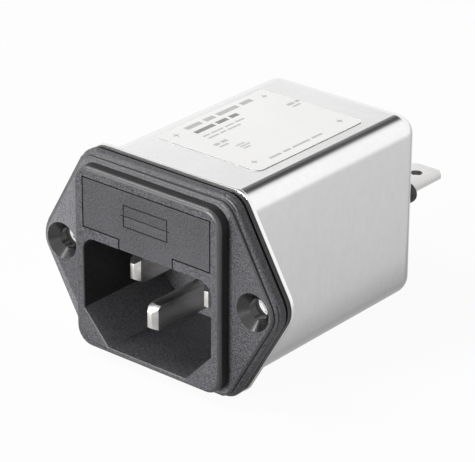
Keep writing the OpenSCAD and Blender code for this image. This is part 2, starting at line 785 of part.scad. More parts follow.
module y_capacitor(s) {
    color("steelblue") {
        rod_y(s * ycap_x, deck_z + ycap_r + 2 * lead_r, ycap_r, ycap_y, ycap_y + ycap_t);
        for (t = [-1, 1])
            translate([s * ycap_x + t * ycap_r / 2, ycap_y + ycap_t / 2, deck_z])
                cylinder(h = ycap_r, r = lead_r);
    }
}

module line_y_capacitor() y_capacitor(1);
module neutral_y_capacitor() y_capacitor(-1);

// lies over the capacitor across the lines, with a lead down each side of it
module bleed_resistor() {
    color("tan") {
        translate([-res_len / 2, res_y, res_z]) rotate([0, 90, 0]) cylinder(h = res_len, r = res_r);
        translate([-res_out, res_y, res_z]) rotate([0, 90, 0]) cylinder(h = 2 * res_out, r = lead_r);
        for (s = [-1, 1]) {
            translate([s * res_out, res_y, deck_z]) cylinder(h = res_z - deck_z, r = lead_r);
            translate([s * res_out, res_y, res_z]) sphere(r = lead_r);
        }
    }
}

// upright wire from the board to the height z
module riser(x, y, z) {
    color("orangered") translate([x, y, deck_z]) cylinder(h = z - deck_z, r = link_r);
}

module line_wire_in() riser(arm_wire_x, arm_wire_y, fuse_z - arm_hh);
module neutral_wire_in() riser(-arm_wire_x, arm_wire_y, fuse_z - arm_hh);
module line_wire_out() riser(link_x, link_y, tab_z - tab_t / 2);
module neutral_wire_out() riser(-link_x, link_y, tab_z - tab_t / 2);

inlet_body();
rear_frame();
filter_can();
fuse_drawer();
line_pin();
neutral_pin();
earth_pin();
line_front_contact();
neutral_front_contact();
line_rear_contact();
neutral_rear_contact();
line_fuse_tube();
neutral_fuse_tube();
line_fuse_front_cap();
line_fuse_rear_cap();
neutral_fuse_front_cap();
neutral_fuse_rear_cap();
line_fuse_wire();
neutral_fuse_wire();
earth_strap();
label();
line_tab();
neutral_tab();
line_bush();
neutral_bush();
earth_tab();
earth_rivet();
insulating_liner();
circuit_board();
choke_base();
choke_core();
line_winding();
neutral_winding();
x_capacitor();
line_y_capacitor();
neutral_y_capacitor();
bleed_resistor();
line_wire_in();
neutral_wire_in();
line_wire_out();
neutral_wire_out();
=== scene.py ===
import bpy
import json
import math
from mathutils import Matrix, Vector

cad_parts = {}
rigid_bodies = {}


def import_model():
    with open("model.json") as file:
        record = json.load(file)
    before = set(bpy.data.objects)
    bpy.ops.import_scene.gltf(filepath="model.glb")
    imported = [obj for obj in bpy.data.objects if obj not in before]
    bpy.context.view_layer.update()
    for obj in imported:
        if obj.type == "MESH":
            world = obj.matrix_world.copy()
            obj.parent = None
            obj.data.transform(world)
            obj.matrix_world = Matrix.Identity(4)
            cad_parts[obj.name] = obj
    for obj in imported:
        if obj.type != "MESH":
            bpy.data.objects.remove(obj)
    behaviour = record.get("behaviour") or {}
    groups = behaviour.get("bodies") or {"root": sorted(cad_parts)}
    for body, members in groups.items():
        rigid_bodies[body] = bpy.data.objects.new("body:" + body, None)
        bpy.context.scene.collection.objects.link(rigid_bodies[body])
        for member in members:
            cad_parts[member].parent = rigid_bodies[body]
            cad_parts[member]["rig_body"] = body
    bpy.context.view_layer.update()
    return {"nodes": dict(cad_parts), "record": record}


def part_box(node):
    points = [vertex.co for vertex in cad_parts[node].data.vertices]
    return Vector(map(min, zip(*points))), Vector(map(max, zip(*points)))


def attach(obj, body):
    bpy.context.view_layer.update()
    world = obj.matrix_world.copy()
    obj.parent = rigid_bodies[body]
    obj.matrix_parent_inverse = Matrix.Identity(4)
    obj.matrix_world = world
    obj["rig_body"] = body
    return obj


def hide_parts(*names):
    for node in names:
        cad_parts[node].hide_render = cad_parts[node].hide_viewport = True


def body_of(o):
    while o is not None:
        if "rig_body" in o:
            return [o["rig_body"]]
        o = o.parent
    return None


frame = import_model()
nodes = frame["nodes"]
mm = 0.001

cameraSettings = {
    "place": (0.21765, -0.24721, 0.15908),
    "right": (0.76744, 0.64111, 0.00396),
    "up": (-0.27366, 0.32199, 0.90633),
    "back": (0.57978, -0.69663, 0.42256),
    "lens": 194.33,
}

lightSettings = {
    "key": {"place": (-0.30, -1.02, 0.24), "size": 0.40, "power": 15.2},
    "fill": {"place": (0.85, -0.55, 0.30), "size": 0.50, "power": 1.0},
    "top": {"place": (-0.52, -0.20, 0.80), "size": 0.50, "power": 6.5},
}

# the surroundings as polished metal sees them, by the angle from straight up round the Y axis, in degrees
surroundings = {
    "ambient": 0.18, "seen": 1.0, "floorDrop": 15.72, "floorSize": 4.0, "floorWhite": 0.72, "floorGlow": 0.94,
    "mirrorStops": [(-180, 0.93), (-52.2, 0.93), (-51, 0.20), (-44, 0.15), (-38, 0.24), (-33, 0.12), (-24, 0.07), (-14, 0.06),
                    (-8, 0.12), (-4, 0.2), (2, 0.5), (8, 0.78), (16, 0.92), (26, 1.0), (180, 0.97)],
    "mirrorLight": 1.0, "flagBand": ((0.54, 0.62, 0, 1), (0.79, 0.86, 1, 0)),
    # painted shade seen in reflections: how bright metal sees the paper, by the distance to the right of the middle, in
    # millimetres
    "floorStops": [(-300, 1.0), (-150, 0.88), (-80, 0.72), (-30, 0.60), (-8, 0.66), (4, 0.80), (10, 0.52), (15, 0.34), (18, 0.36), (24, 0.57), (45, 0.61), (70, 0.68),
                   (110, 0.80), (180, 0.92), (280, 1.0)],
}


def makeCamera(settings):
    data = bpy.data.cameras.new("camera")
    data.lens = settings["lens"]
    data.sensor_width = 36
    data.clip_start = 0.01
    data.clip_end = 20
    cam = bpy.data.objects.new("camera", data)
    bpy.context.scene.collection.objects.link(cam)
    place = Matrix.Identity(4)
    for column, key in enumerate(("right", "up", "back", "place")):
        for row in range(3):
            place[row][column] = settings[key][row]
    cam.matrix_world = place
    bpy.context.scene.camera = cam
    return cam


def makeLight(name, settings):
    data = bpy.data.lights.new(name, "AREA")
    data.shape = "SQUARE"
    data.size = settings["size"]
    data.energy = settings["power"]
    lamp = bpy.data.objects.new(name, data)
    lamp.location = settings["place"]
    lamp.rotation_euler = (Vector((0, 0.02, 0)) - Vector(settings["place"])).to_track_quat("-Z", "Y").to_euler()
    bpy.context.scene.collection.objects.link(lamp)
    return lamp


def makeWorld(settings):
    # plain white to the camera, even light for matt things, and a dark flag over the back for metal
    world = bpy.data.worlds.new("studio")
    bpy.context.scene.world = world
    world.use_nodes = True
    tree = world.node_tree
    tree.nodes.clear()
    out = tree.nodes.new("ShaderNodeOutputWorld")
    where = tree.nodes.new("ShaderNodeTexCoord")
    parts = tree.nodes.new("ShaderNodeSeparateXYZ")
    tree.links.new(where.outputs["Generated"], parts.inputs[0])
    turn = tree.nodes.new("ShaderNodeMath")
    turn.operation = "ARCTAN2"
    tree.links.new(parts.outputs["X"], turn.inputs[0])
    tree.links.new(parts.outputs["Z"], turn.inputs[1])
    share = tree.nodes.new("ShaderNodeMapRange")
    share.inputs["From Min"].default_value = -math.pi
    share.inputs["From Max"].default_value = math.pi
    tree.links.new(turn.outputs[0], share.inputs["Value"])
    ramp = tree.nodes.new("ShaderNodeValToRGB")
    stops = settings["mirrorStops"]
    while len(ramp.color_ramp.elements) < len(stops):
        ramp.color_ramp.elements.new(0.5)
    for element, (angle, level) in zip(ramp.color_ramp.elements, stops):
        element.position = (angle + 180) / 360
        element.color = (level, level, level, 1)
    tree.links.new(share.outputs["Result"], ramp.inputs["Fac"])
    # the flag stands only behind the object, across a band of the room
    behind = tree.nodes.new("ShaderNodeMath")
    behind.operation = "MULTIPLY"
    for index, (start, end, low, high) in enumerate(settings["flagBand"]):
        fade = tree.nodes.new("ShaderNodeMapRange")
        for socket, value in zip(("From Min", "From Max", "To Min", "To Max"), (start, end, low, high)):
            fade.inputs[socket].default_value = value
        tree.links.new(parts.outputs["Y"], fade.inputs["Value"])
        tree.links.new(fade.outputs["Result"], behind.inputs[index])
    flag = tree.nodes.new("ShaderNodeMix")
    flag.data_type = "RGBA"
    flag.inputs[6].default_value = (0.95, 0.95, 0.95, 1)
    tree.links.new(behind.outputs[0], flag.inputs[0])
    tree.links.new(ramp.outputs["Color"], flag.inputs[7])
    soft = tree.nodes.new("ShaderNodeBackground")
    soft.inputs["Color"].default_value = (1, 1, 1, 1)
    soft.inputs["Strength"].default_value = settings["ambient"]
    mirror = tree.nodes.new("ShaderNodeBackground")
    tree.links.new(flag.outputs[2], mirror.inputs["Color"])
    mirror.inputs["Strength"].default_value = settings["mirrorLight"]
    white = tree.nodes.new("ShaderNodeBackground")
    white.inputs["Color"].default_value = (1, 1, 1, 1)
    white.inputs["Strength"].default_value = settings["seen"]
    ray = tree.nodes.new("ShaderNodeLightPath")
    openRay = tree.nodes.new("ShaderNodeMath")
    openRay.operation = "MAXIMUM"
    tree.links.new(ray.outputs["Is Camera Ray"], openRay.inputs[0])
    tree.links.new(ray.outputs["Is Transmission Ray"], openRay.inputs[1])
    glossy = tree.nodes.new("ShaderNodeMixShader")
    tree.links.new(ray.outputs["Is Glossy Ray"], glossy.inputs[0])
    tree.links.new(soft.outputs[0], glossy.inputs[1])
    tree.links.new(mirror.outputs[0], glossy.inputs[2])
    mix = tree.nodes.new("ShaderNodeMixShader")
    tree.links.new(openRay.outputs[0], mix.inputs[0])
    tree.links.new(glossy.outputs[0], mix.inputs[1])
    tree.links.new(white.outputs[0], mix.inputs[2])
    tree.links.new(mix.outputs[0], out.inputs["Surface"])


def makeFloor(settings):
    bpy.ops.object.select_all(action="DESELECT")
    bpy.ops.mesh.primitive_plane_add(size=settings["floorSize"], location=(0, 0, -settings["floorDrop"] * mm))
    floor = bpy.context.object
    floor.name = "floor"
    mat = bpy.data.materials.new("floorPaper")
    mat.use_nodes = True
    tree = mat.node_tree
    tree.nodes.clear()
    out = tree.nodes.new("ShaderNodeOutputMaterial")
    paper = tree.nodes.new("ShaderNodeBsdfDiffuse")
    white = settings["floorWhite"]
    paper.inputs["Color"].default_value = (white, white, white, 1)
    glow = tree.nodes.new("ShaderNodeEmission")
    ray = tree.nodes.new("ShaderNodeLightPath")
    shares = []
    for rayKind in ("Is Camera Ray", "Is Glossy Ray", "Is Transmission Ray"):
        share = tree.nodes.new("ShaderNodeMath")
        share.operation = "MULTIPLY"
        share.inputs[1].default_value = settings["floorGlow"]
        tree.links.new(ray.outputs[rayKind], share.inputs[0])
        shares.append(share.outputs[0])
    for share in shares[1:]:
        most = tree.nodes.new("ShaderNodeMath")
        most.operation = "MAXIMUM"
        tree.links.new(shares[0], most.inputs[0])
        tree.links.new(share, most.inputs[1])
        shares[0] = most.outputs[0]
    # metal sees the paper go dim beside the can: painted shade in the reflection only, camera rays still see the paper
    # evenly white
    where = tree.nodes.new("ShaderNodeTexCoord")
    parts = tree.nodes.new("ShaderNodeSeparateXYZ")
    tree.links.new(where.outputs["Object"], parts.inputs[0])
    across = tree.nodes.new("ShaderNodeMapRange")
    across.inputs["From Min"].default_value = -0.3
    across.inputs["From Max"].default_value = 0.3
    tree.links.new(parts.outputs["X"], across.inputs["Value"])
    dim = tree.nodes.new("ShaderNodeValToRGB")
    while len(dim.color_ramp.elements) < len(settings["floorStops"]):
        dim.color_ramp.elements.new(0.5)
    for element, (distance, bright) in zip(dim.color_ramp.elements, settings["floorStops"]):
        element.position = (distance + 300) / 600
        element.color = (bright, bright, bright, 1)
    tree.links.new(across.outputs["Result"], dim.inputs["Fac"])
    level = tree.nodes.new("ShaderNodeMix")
    level.data_type = "FLOAT"
    level.inputs[2].default_value = settings["seen"]
    tree.links.new(ray.outputs["Is Glossy Ray"], level.inputs[0])
    tree.links.new(dim.outputs["Color"], level.inputs[3])
    tree.links.new(level.outputs[0], glow.inputs["Strength"])
    mix = tree.nodes.new("ShaderNodeMixShader")
    tree.links.new(shares[0], mix.inputs[0])
    tree.links.new(paper.outputs[0], mix.inputs[1])
    tree.links.new(glow.outputs[0], mix.inputs[2])
    tree.links.new(mix.outputs[0], out.inputs["Surface"])
    floor.data.materials.append(mat)
    return floor


makeCamera(cameraSettings)
for lampName, lampSettings in lightSettings.items():
    makeLight(lampName, lampSettings)
makeWorld(surroundings)
makeFloor(surroundings)
bpy.context.scene.view_settings.view_transform = "Standard"
print("studio ready")


def newGroup(name, inputs, outputs):
    group = bpy.data.node_groups.new(name, "ShaderNodeTree")
    for label, kind, value in inputs:
        socket = group.interface.new_socket(name=label, in_out="INPUT", socket_type=kind)
        if value is not None:
            socket.default_value = value
    for label, kind in outputs:
        group.interface.new_socket(name=label, in_out="OUTPUT", socket_type=kind)
    return group, group.nodes.new("NodeGroupInput"), group.nodes.new("NodeGroupOutput")


def addNoise(tree, scale, detail, roughness):
    noise = tree.nodes.new("ShaderNodeTexNoise")
    noise.inputs["Scale"].default_value = scale
    noise.inputs["Detail"].default_value = detail
    noise.inputs["Roughness"].default_value = roughness
    return noise


def addMath(tree, operation, a=None, b=None, clamp=False):
    node = tree.nodes.new("ShaderNodeMath")
    node.operation = operation
    node.use_clamp = clamp
    for index, value in enumerate((a, b)):
        if value is None:
            continue
        if isinstance(value, (int, float)):
            node.inputs[index].default_value = value
        else:
            tree.links.new(value, node.inputs[index])
    return node.outputs[0]


def addRange(tree, value, low, high, toLow, toHigh):
    node = tree.nodes.new("ShaderNodeMapRange")
    for socket, given in zip(("From Min", "From Max", "To Min", "To Max"), (low, high, toLow, toHigh)):
        if isinstance(given, (int, float)):
            node.inputs[socket].default_value = given
        else:
            tree.links.new(given, node.inputs[socket])
    tree.links.new(value, node.inputs["Value"])
    return node.outputs["Result"]


def addMix(tree, factor, a, b):
    node = tree.nodes.new("ShaderNodeMix")
    node.data_type = "RGBA"
    for socket, given in ((node.inputs[0], factor), (node.inputs[6], a), (node.inputs[7], b)):
        if isinstance(given, (int, float)):
            socket.default_value = given
        elif isinstance(given, tuple):
            socket.default_value = given
        else:
            tree.links.new(given, socket)
    return node.outputs[2]


def sparkGrain():
    # the fine matt texture of an eroded mould, with slow patches over it
    group, start, end = newGroup("sparkGrain", [
        ("Vector", "NodeSocketVector", None), ("Grain Scale", "NodeSocketFloat", 4200.0),
        ("Patch Scale", "NodeSocketFloat", 120.0)],
        [("Height", "NodeSocketFloat"), ("Speck", "NodeSocketFloat"), ("Patch", "NodeSocketFloat")])
    fine = addNoise(group, 1.0, 3.0, 0.65)
    group.links.new(start.outputs["Vector"], fine.inputs["Vector"])
    group.links.new(start.outputs["Grain Scale"], fine.inputs["Scale"])
    pits = group.nodes.new("ShaderNodeTexVoronoi")
    pits.feature = "F1"
    pits.inputs["Scale"].default_value = 1.0
    group.links.new(start.outputs["Vector"], pits.inputs["Vector"])
    group.links.new(addMath(group, "MULTIPLY", start.outputs["Grain Scale"], 0.7), pits.inputs["Scale"])
    slow = addNoise(group, 1.0, 2.0, 0.5)
    group.links.new(start.outputs["Vector"], slow.inputs["Vector"])
    group.links.new(start.outputs["Patch Scale"], slow.inputs["Scale"])
    height = addMath(group, "ADD", fine.outputs["Fac"], addMath(group, "MULTIPLY", pits.outputs["Distance"], 0.5))
    group.links.new(height, end.inputs["Height"])
    group.links.new(addRange(group, fine.outputs["Fac"], 0.35, 0.65, 0.0, 1.0), end.inputs["Speck"])
    group.links.new(addRange(group, slow.outputs["Fac"], 0.3, 0.7, 0.0, 1.0), end.inputs["Patch"])
    return group


def rolledMetal():
    # rolling lines along one direction, cloudy plating and a few fine handling scratches
    group, start, end = newGroup("rolledMetal", [
        ("Vector", "NodeSocketVector", None), ("Line Scale", "NodeSocketFloat", 900.0),
        ("Stretch", "NodeSocketVector", (1.0, 0.03, 1.0)), ("Cloud Scale", "NodeSocketFloat", 60.0)],
        [("Lines", "NodeSocketFloat"), ("Clouds", "NodeSocketFloat"), ("Scratches", "NodeSocketFloat")])
    squeeze = group.nodes.new("ShaderNodeVectorMath")
    squeeze.operation = "MULTIPLY"
    group.links.new(start.outputs["Vector"], squeeze.inputs[0])
    group.links.new(start.outputs["Stretch"], squeeze.inputs[1])
    lines = addNoise(group, 1.0, 4.0, 0.6)
    group.links.new(squeeze.outputs[0], lines.inputs["Vector"])
    group.links.new(start.outputs["Line Scale"], lines.inputs["Scale"])
    clouds = addNoise(group, 1.0, 3.0, 0.55)
    group.links.new(start.outputs["Vector"], clouds.inputs["Vector"])
    group.links.new(start.outputs["Cloud Scale"], clouds.inputs["Scale"])
    marks = addNoise(group, 1.0, 2.0, 0.4)
    group.links.new(squeeze.outputs[0], marks.inputs["Vector"])
    group.links.new(addMath(group, "MULTIPLY", start.outputs["Line Scale"], 0.35), marks.inputs["Scale"])
    group.links.new(addRange(group, lines.outputs["Fac"], 0.3, 0.7, 0.0, 1.0), end.inputs["Lines"])
    group.links.new(addRange(group, clouds.outputs["Fac"], 0.3, 0.7, 0.0, 1.0), end.inputs["Clouds"])
    group.links.new(addRange(group, marks.outputs["Fac"], 0.72, 0.76, 0.0, 1.0), end.inputs["Scratches"])
    return group


def printBar():
    # one printed bar on a flat label: 1 inside the box round its middle, 0 outside
    group, start, end = newGroup("printBar", [
        ("Vector", "NodeSocketVector", None), ("Middle X", "NodeSocketFloat", 0.0),
        ("Middle Y", "NodeSocketFloat", 0.0), ("Half X", "NodeSocketFloat", 0.001),
        ("Half Y", "NodeSocketFloat", 0.001)], [("Ink", "NodeSocketFloat")])
    parts = group.nodes.new("ShaderNodeSeparateXYZ")
    group.links.new(start.outputs["Vector"], parts.inputs[0])
    sides = []
    for axis in ("X", "Y"):
        away = addMath(group, "ABSOLUTE", addMath(group, "SUBTRACT", parts.outputs[axis], start.outputs["Middle " + axis]))
        sides.append(addMath(group, "LESS_THAN", away, start.outputs["Half " + axis]))
    group.links.new(addMath(group, "MULTIPLY", *sides), end.inputs["Ink"])
    return group


groups = {"grain": sparkGrain(), "rolled": rolledMetal(), "bar": printBar()}


def newMaterial(name):
    mat = bpy.data.materials.new(name)
    mat.use_nodes = True
    tree = mat.node_tree
    tree.nodes.clear()
    out = tree.nodes.new("ShaderNodeOutputMaterial")
    shader = tree.nodes.new("ShaderNodeBsdfPrincipled")
    tree.links.new(shader.outputs[0], out.inputs["Surface"])
    where = tree.nodes.new("ShaderNodeTexCoord")
    return mat, tree, shader, where.outputs["Object"]


def placeGroup(tree, group, where, **values):
    node = tree.nodes.new("ShaderNodeGroup")
    node.node_tree = group
    tree.links.new(where, node.inputs["Vector"])
    for label, value in values.items():
        node.inputs[label.replace("_", " ")].default_value = value
    return node


def addBump(tree, shader, height, distance, strength):
    bump = tree.nodes.new("ShaderNodeBump")
    bump.inputs["Strength"].default_value = strength
    bump.inputs["Distance"].default_value = distance
    tree.links.new(height, bump.inputs["Height"])
    tree.links.new(bump.outputs[0], shader.inputs["Normal"])
    return bump


def grey(value, tint=(1.0, 1.0, 1.0)):
    return (value * tint[0], value * tint[1], value * tint[2], 1.0)


def mouldedPlastic(name, settings):
    mat, tree, shader, where = newMaterial(name)
    grain = placeGroup(tree, groups["grain"], where, Grain_Scale=settings["grainScale"], Patch_Scale=settings["patchScale"])
    tint = settings["tint"]
    speckled = addMix(tree, grain.outputs["Speck"], grey(settings["dark"], tint), grey(settings["pale"], tint))
    cloudy = addMix(tree, addMath(tree, "MULTIPLY", grain.outputs["Patch"], 0.35), speckled, grey(settings["pale"], tint))
    tree.links.new(cloudy, shader.inputs["Base Color"])
    rough = addRange(tree, grain.outputs["Patch"], 0.0, 1.0, settings["roughLow"], settings["roughHigh"])
    tree.links.new(rough, shader.inputs["Roughness"])
    shader.inputs["IOR"].default_value = 1.5
    shader.inputs["Specular IOR Level"].default_value = settings["shine"]
    addBump(tree, shader, grain.outputs["Height"], settings["bump"] * mm, settings["bumpStrength"])
    return mat


def platedMetal(name, settings):
    mat, tree, shader, where = newMaterial(name)
    metal = placeGroup(tree, groups["rolled"], where, Line_Scale=settings["lineScale"], Stretch=settings["stretch"],
                       Cloud_Scale=settings["cloudScale"])
    tint = settings["tint"]
    base = addMix(tree, metal.outputs["Lines"], grey(settings["dark"], tint), grey(settings["pale"], tint))
    cloudy = addMix(tree, addMath(tree, "MULTIPLY", metal.outputs["Clouds"], settings["cloudShare"]), base,
                    grey(settings["dark"], tint))
    marked = addMix(tree, addMath(tree, "MULTIPLY", metal.outputs["Scratches"], settings["scratchShare"]), cloudy,
                    grey(settings["pale"], tint))
    tree.links.new(marked, shader.inputs["Base Color"])
    shader.inputs["Metallic"].default_value = settings["metallic"]
    rough = addRange(tree, metal.outputs["Clouds"], 0.0, 1.0, settings["roughLow"], settings["roughHigh"])
    tree.links.new(rough, shader.inputs["Roughness"])
    height = addMath(tree, "SUBTRACT", metal.outputs["Lines"], metal.outputs["Scratches"])
    addBump(tree, shader, height, settings["bump"] * mm, settings["bumpStrength"])
    return mat


plasticFinishes = {
    "mouldingBlack": {"dark": 0.004, "pale": 0.085, "tint": (1.0, 0.98, 1.10), "grainScale": 3800.0, "patchScale": 110.0,
                      "roughLow": 0.42, "roughHigh": 0.52, "shine": 0.5, "bump": 0.08, "bumpStrength": 1.0},
    # socketLitWall: a paler copy of the black moulding, painted light on the socket walls that face the lamp
    "socketLitWall": {"dark": 0.040, "pale": 0.165, "tint": (1.0, 0.99, 1.06), "grainScale": 3800.0, "patchScale": 110.0,
                    "roughLow": 0.45, "roughHigh": 0.55, "shine": 0.5, "bump": 0.03, "bumpStrength": 1.0},
    "drawerBlack": {"dark": 0.010, "pale": 0.068, "tint": (1.0, 0.98, 1.10), "grainScale": 3900.0, "patchScale": 120.0,
                    "roughLow": 0.42, "roughHigh": 0.52, "shine": 0.5, "bump": 0.04, "bumpStrength": 1.0},
    "mouldingEdge": {"dark": 0.035, "pale": 0.05, "tint": (1.0, 0.99, 1.04), "grainScale": 5000.0, "patchScale": 110.0,
                     "roughLow": 0.36, "roughHigh": 0.46, "shine": 0.6, "bump": 0.01, "bumpStrength": 0.5},
    # mouldingShadedSide: a darker, duller copy of the black moulding, painted shade on sides, creases and grooves
    "mouldingShadedSide": {"dark": 0.010, "pale": 0.024, "tint": (1.0, 0.99, 1.05), "grainScale": 3800.0, "patchScale": 110.0,
                     "roughLow": 0.5, "roughHigh": 0.6, "shine": 0.22, "bump": 0.02, "bumpStrength": 0.8},
    # sinkGlossShade: the smooth cones of the screw holes, glossier, and painted near-black as shade in the holes
    "sinkGlossShade": {"dark": 0.006, "pale": 0.012, "tint": (1.0, 1.0, 1.02), "grainScale": 2600.0, "patchScale": 300.0,
                  "roughLow": 0.20, "roughHigh": 0.26, "shine": 0.8, "bump": 0.0004, "bumpStrength": 0.2},
    # seamShadow: near-black and dull, painted shadow in the seam and the creases
    "seamShadow": {"dark": 0.002, "pale": 0.005, "tint": (1.0, 1.0, 1.0), "grainScale": 3800.0, "patchScale": 110.0,
                  "roughLow": 0.8, "roughHigh": 0.95, "shine": 0.06, "bump": 0.004, "bumpStrength": 0.4},
    "frameBlack": {"dark": 0.030, "pale": 0.052, "tint": (1.0, 1.0, 1.02), "grainScale": 3600.0, "patchScale": 140.0,
                   "roughLow": 0.45, "roughHigh": 0.58, "shine": 0.5, "bump": 0.010, "bumpStrength": 0.5},
    "bushBlack": {"dark": 0.010, "pale": 0.018, "tint": (1.0, 1.0, 1.0), "grainScale": 3000.0, "patchScale": 200.0,
                  "roughLow": 0.38, "roughHigh": 0.5, "shine": 0.5, "bump": 0.008, "bumpStrength": 0.4},
    "linerCard": {"dark": 0.52, "pale": 0.62, "tint": (1.0, 0.96, 0.84), "grainScale": 1500.0, "patchScale": 90.0,
                  "roughLow": 0.7, "roughHigh": 0.85, "shine": 0.3, "bump": 0.02, "bumpStrength": 0.5},
    "boardGreen": {"dark": 0.045, "pale": 0.075, "tint": (0.35, 1.0, 0.45), "grainScale": 2200.0, "patchScale": 160.0,
                   "roughLow": 0.3, "roughHigh": 0.42, "shine": 0.5, "bump": 0.006, "bumpStrength": 0.4},
    "palePlastic": {"dark": 0.60, "pale": 0.70, "tint": (1.0, 0.97, 0.88), "grainScale": 2600.0, "patchScale": 130.0,
                    "roughLow": 0.4, "roughHigh": 0.5, "shine": 0.5, "bump": 0.006, "bumpStrength": 0.4},
    "coreFerrite": {"dark": 0.028, "pale": 0.060, "tint": (1.0, 0.98, 0.96), "grainScale": 2400.0, "patchScale": 220.0,
                    "roughLow": 0.55, "roughHigh": 0.7, "shine": 0.4, "bump": 0.02, "bumpStrength": 0.7},
    "capYellow": {"dark": 0.55, "pale": 0.66, "tint": (1.0, 0.72, 0.12), "grainScale": 2600.0, "patchScale": 130.0,
                  "roughLow": 0.35, "roughHigh": 0.45, "shine": 0.5, "bump": 0.006, "bumpStrength": 0.4},
    "capBlue": {"dark": 0.20, "pale": 0.30, "tint": (0.18, 0.5, 1.0), "grainScale": 1800.0, "patchScale": 300.0,
                "roughLow": 0.22, "roughHigh": 0.32, "shine": 0.5, "bump": 0.015, "bumpStrength": 0.3},
    "resistorTan": {"dark": 0.40, "pale": 0.50, "tint": (1.0, 0.74, 0.42), "grainScale": 1800.0, "patchScale": 300.0,
                    "roughLow": 0.25, "roughHigh": 0.35, "shine": 0.5, "bump": 0.012, "bumpStrength": 0.3},
}

metalFinishes = {
    "canSteel": {"dark": 0.92, "pale": 0.97, "tint": (1.0, 1.0, 0.998), "lineScale": 2200.0, "stretch": (1.0, 0.45, 0.3),
                 "cloudScale": 60.0, "cloudShare": 0.6, "scratchShare": 0.1, "metallic": 1.0,
                 "roughLow": 0.12, "roughHigh": 0.17, "bump": 0.0012, "bumpStrength": 0.15},
    "pinNickel": {"dark": 0.74, "pale": 0.88, "tint": (1.0, 0.98, 0.95), "lineScale": 1500.0, "stretch": (1.0, 0.06, 1.0),
                  "cloudScale": 260.0, "cloudShare": 0.3, "scratchShare": 0.3, "metallic": 1.0,
                  "roughLow": 0.26, "roughHigh": 0.36, "bump": 0.003, "bumpStrength": 0.3},
    "tabTin": {"dark": 0.82, "pale": 0.94, "tint": (1.0, 0.99, 0.98), "lineScale": 1300.0, "stretch": (1.0, 0.05, 1.0),
               "cloudScale": 200.0, "cloudShare": 0.25, "scratchShare": 0.35, "metallic": 1.0,
               "roughLow": 0.05, "roughHigh": 0.08, "bump": 0.002, "bumpStrength": 0.1},
    # shearedSteelShade: the sheared bore, rougher and less metallic than tin, and painted dark as shade inside the hole
    "shearedSteelShade": {"dark": 0.16, "pale": 0.26, "tint": (1.0, 0.99, 0.98), "lineScale": 1600.0, "stretch": (1.0, 1.0, 0.1),
                     "cloudScale": 320.0, "cloudShare": 0.25, "scratchShare": 0.1, "metallic": 0.7,
                     "roughLow": 0.5, "roughHigh": 0.6, "bump": 0.002, "bumpStrength": 0.1},
    "contactBrass": {"dark": 0.55, "pale": 0.72, "tint": (1.0, 0.78, 0.42), "lineScale": 1400.0, "stretch": (1.0, 0.06, 1.0),
                     "cloudScale": 240.0, "cloudShare": 0.3, "scratchShare": 0.3, "metallic": 1.0,
                     "roughLow": 0.25, "roughHigh": 0.38, "bump": 0.003, "bumpStrength": 0.3},
    "fuseCap": {"dark": 0.60, "pale": 0.78, "tint": (1.0, 0.99, 0.97), "lineScale": 1600.0, "stretch": (1.0, 0.3, 1.0),
                "cloudScale": 320.0, "cloudShare": 0.25, "scratchShare": 0.3, "metallic": 1.0,
                "roughLow": 0.2, "roughHigh": 0.32, "bump": 0.003, "bumpStrength": 0.3},
    "copperWire": {"dark": 0.50, "pale": 0.72, "tint": (1.0, 0.42, 0.20), "lineScale": 1200.0, "stretch": (0.2, 0.2, 1.0),
                   "cloudScale": 300.0, "cloudShare": 0.3, "scratchShare": 0.2, "metallic": 1.0,
                   "roughLow": 0.18, "roughHigh": 0.28, "bump": 0.003, "bumpStrength": 0.3},
    "leadTin": {"dark": 0.55, "pale": 0.74, "tint": (1.0, 0.99, 0.97), "lineScale": 1600.0, "stretch": (1.0, 0.3, 1.0),
                "cloudScale": 320.0, "cloudShare": 0.25, "scratchShare": 0.3, "metallic": 1.0,
                "roughLow": 0.24, "roughHigh": 0.36, "bump": 0.003, "bumpStrength": 0.3},
}

# every printed bar: middle x, middle y, half x, half y, all in millimetres
labelSettings = {
    # labelEdgeShade: the grey of the label's sides below its top face, painted shade
    "topFace": 14.7, "labelEdgeShade": 0.30, "paper": (0.90, 0.93), "paperTint": (1.0, 0.995, 0.98), "ink": 0.10, "inkShare": 0.8,
    # plain bars in place of the print: middle x, start y, half width, strength, then the lengths of bars and spaces in turn
    "rows": [(-8.7, 12.9, 0.50, 0.55, (3.4, 0.8, 2.2, 0.7, 4.6, 0.8, 2.5)), (-6.7, 12.7, 0.45, 0.9, (4.2, 0.6, 2.4, 0.6, 1.8)),
             (-4.9, 12.4, 0.20, 0.5, (1.4, 0.4, 2.6, 0.5, 1.9, 0.4, 2.0)), (-3.9, 12.4, 0.20, 0.5, (2.3, 0.4, 1.2, 0.4, 2.9)),
             (7.4, 12.5, 0.25, 0.5, (2.6, 0.5, 1.6, 0.5, 3.9, 0.5, 2.4)), (1.6, 12.9, 0.22, 0.4, (2.2,)), (2.3, 12.9, 0.22, 0.4, (1.5,)),
             (0.9, 12.9, 0.22, 0.4, (1.8,)), (-1.6, 11.0, 0.35, 0.5, (1.1, 0.4, 1.3)), (-0.6, 11.0, 0.22, 0.45, (1.9,)),
             (-3.2, 29.7, 0.35, 0.5, (1.4, 0.4, 0.8)), (-2.2, 29.7, 0.22, 0.45, (1.8,))],
    "crosses": [(-8.2, 10.2), (-8.1, 30.2), (6.45, 29.9), (6.55, 10.1)], "crossReach": 0.55, "crossLine": 0.07,
}


def fuseGlass(name):
    mat, tree, shader, where = newMaterial(name)
    grain = placeGroup(tree, groups["grain"], where, Grain_Scale=700.0, Patch_Scale=300.0)
    tint = addMix(tree, grain.outputs["Patch"], (0.90, 0.95, 0.93, 1), (0.97, 0.99, 0.98, 1))
    tree.links.new(tint, shader.inputs["Base Color"])
    tree.links.new(addRange(tree, grain.outputs["Patch"], 0.0, 1.0, 0.02, 0.06), shader.inputs["Roughness"])
    shader.inputs["Transmission Weight"].default_value = 1.0
    shader.inputs["IOR"].default_value = 1.5
    return mat


